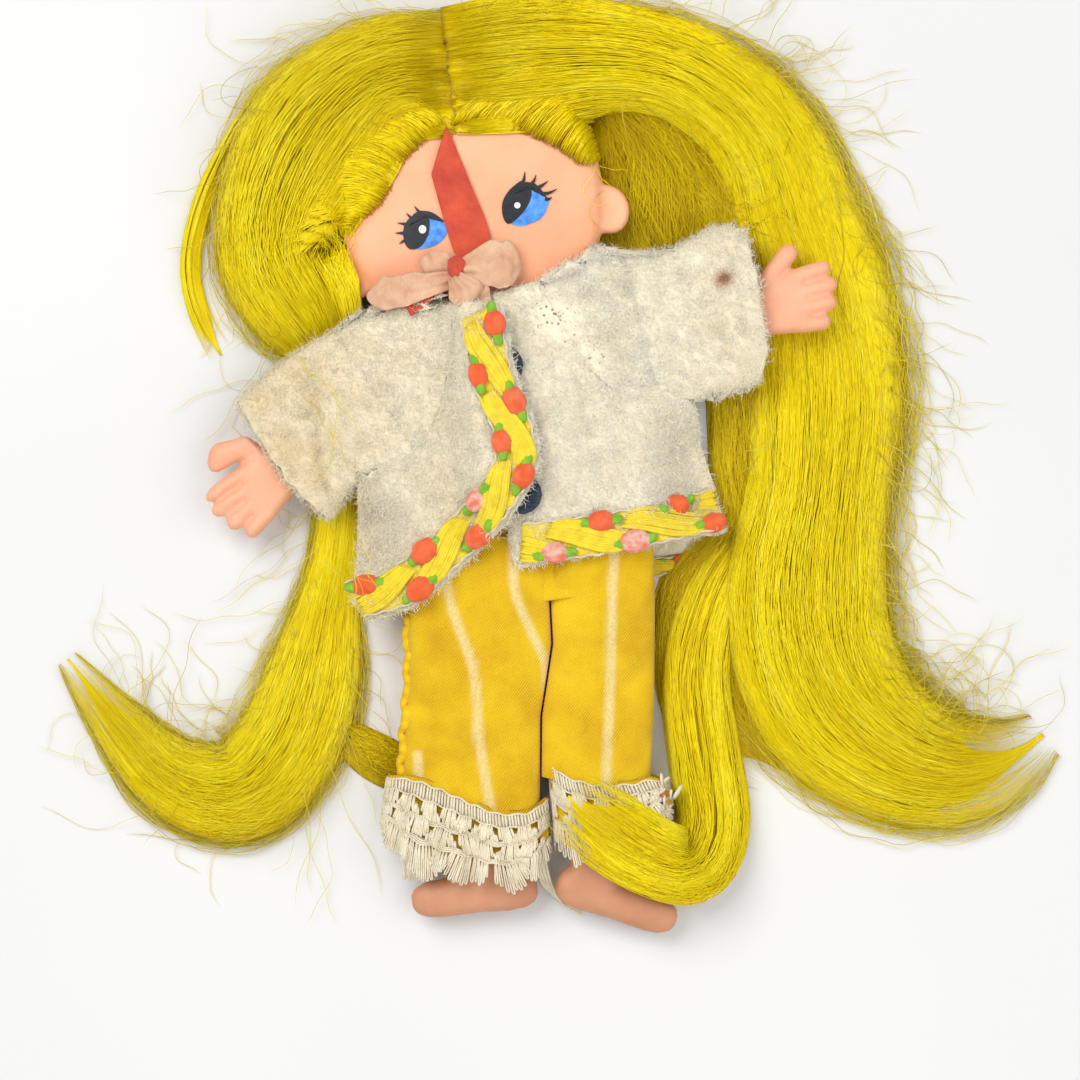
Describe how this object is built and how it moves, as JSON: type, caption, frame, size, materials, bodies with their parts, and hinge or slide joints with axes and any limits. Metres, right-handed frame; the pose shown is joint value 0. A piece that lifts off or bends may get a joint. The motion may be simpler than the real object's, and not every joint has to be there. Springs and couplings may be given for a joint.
{
  "type": "bendable flat doll",
  "caption": "Flat vinyl doll that bends at neck, shoulders, elbows, hips and knees, lying on its back in a fleece jacket, lace-cuffed trousers and a bow, its long hair spread out.",
  "frame": {"origin": "on the underside of the jacket's back, near the middle of the doll's chest", "axes": "+Z out of the doll's front, +Y towards its head, +X towards its left side"},
  "size_m": [0.144, 0.1371, 0.0152],
  "materials": {
    "vinyl": "satin",
    "armature_wire": "drawn",
    "fleece": "napped",
    "braid": "satin thread",
    "snap_enamel": "enamel",
    "trouser_cloth": "twill",
    "lace": "thread",
    "red_ribbon": "woven",
    "faded_ribbon": "woven",
    "hair": "shiny fibre"
  },
  "bodies": {
    "torso": {"torso": "vinyl", "arm_wire_yoke": "armature_wire", "leg_wire_arch": "armature_wire", "neck_wire": "armature_wire", "jacket_back": "fleece", "jacket_front_left": "fleece", "jacket_front_right": "fleece", "trim_front_right": "braid", "trim_hem_left": "braid", "trim_hem_back": "braid", "snap_stud_upper": "snap_enamel", "snap_stud_lower": "snap_enamel", "snap_socket_upper": "snap_enamel", "snap_socket_lower": "snap_enamel", "trousers_seat": "trouser_cloth", "waist_elastic": "trouser_cloth", "hair_tail_right": "hair", "hair_fall_left": "hair", "hair_tail_left": "hair", "hair_curl_left": "hair"},
    "head": {"head": "vinyl", "head_wire": "armature_wire", "hair_sweep_right": "hair", "hair_sweep_left": "hair", "hair_back": "hair", "hair_outer_lock_right": "hair", "ribbon_knot": "red_ribbon", "ribbon_loop_left": "faded_ribbon", "ribbon_loop_right": "faded_ribbon", "ribbon_long_end": "red_ribbon", "ribbon_short_end": "red_ribbon"},
    "upper_arm_right": {"upper_arm_right": "vinyl", "upper_arm_wire_right": "armature_wire", "sleeve_right": "fleece"},
    "forearm_right": {"forearm_right": "vinyl", "forearm_wire_right": "armature_wire"},
    "thigh_right": {"thigh_right": "vinyl", "thigh_wire_right": "armature_wire", "trouser_leg_right": "trouser_cloth"},
    "shin_right": {"shin_right": "vinyl", "shin_wire_right": "armature_wire", "lace_cuff_right": "lace"},
    "upper_arm_left": {"upper_arm_left": "vinyl", "upper_arm_wire_left": "armature_wire", "sleeve_left": "fleece"},
    "forearm_left": {"forearm_left": "vinyl", "forearm_wire_left": "armature_wire"},
    "thigh_left": {"thigh_left": "vinyl", "thigh_wire_left": "armature_wire", "trouser_leg_left": "trouser_cloth"},
    "shin_left": {"shin_left": "vinyl", "shin_wire_left": "armature_wire", "lace_cuff_left": "lace"}
  },
  "joints": [
    {"name": "neck", "type": "hinge", "parent": "torso", "child": "head", "pos_m": [-0.0043, 0.0153, 0.0052], "axis": [0.9903, 0.1392, 0], "range_deg": [-10, 25], "deforming": ["hair_tail_right", "hair_fall_left"]},
    {"name": "shoulder_right", "type": "hinge", "parent": "torso", "child": "upper_arm_right", "pos_m": [-0.0176, 0.0086, 0.006], "axis": [-0.5664, 0.8241, 0], "range_deg": [0, 75], "deforming": ["sleeve_right"]},
    {"name": "elbow_right", "type": "hinge", "parent": "upper_arm_right", "child": "forearm_right", "pos_m": [-0.02667, 0.00237, 0.006], "axis": [-0.5664, 0.8241, 0], "range_deg": [0, 50], "deforming": ["sleeve_right"]},
    {"name": "shoulder_left", "type": "hinge", "parent": "torso", "child": "upper_arm_left", "pos_m": [0.0104, 0.0132, 0.006], "axis": [0.2419, -0.9703, 0], "range_deg": [0, 75], "deforming": ["sleeve_left"]},
    {"name": "elbow_left", "type": "hinge", "parent": "upper_arm_left", "child": "forearm_left", "pos_m": [0.02107, 0.01586, 0.006], "axis": [0.2419, -0.9703, 0], "range_deg": [0, 50], "deforming": ["sleeve_left"]},
    {"name": "hip_right", "type": "hinge", "parent": "torso", "child": "thigh_right", "pos_m": [-0.0087, -0.025, 0.0052], "axis": [-1, 0, 0], "range_deg": [-15, 85], "deforming": ["trouser_leg_right"]},
    {"name": "knee_right", "type": "hinge", "parent": "thigh_right", "child": "shin_right", "pos_m": [-0.0087, -0.043, 0.00473], "axis": [-1, 0, 0], "range_deg": [-85, 0], "deforming": ["trouser_leg_right"]},
    {"name": "hip_left", "type": "hinge", "parent": "torso", "child": "thigh_left", "pos_m": [0.009, -0.025, 0.0052], "axis": [-1, 0, 0], "range_deg": [-15, 85], "deforming": ["trouser_leg_left", "hair_curl_left"]},
    {"name": "knee_left", "type": "hinge", "parent": "thigh_left", "child": "shin_left", "pos_m": [0.009, -0.043, 0.00473], "axis": [-1, 0, 0], "range_deg": [-85, 0], "deforming": ["trouser_leg_left", "hair_curl_left"]}
  ]
}
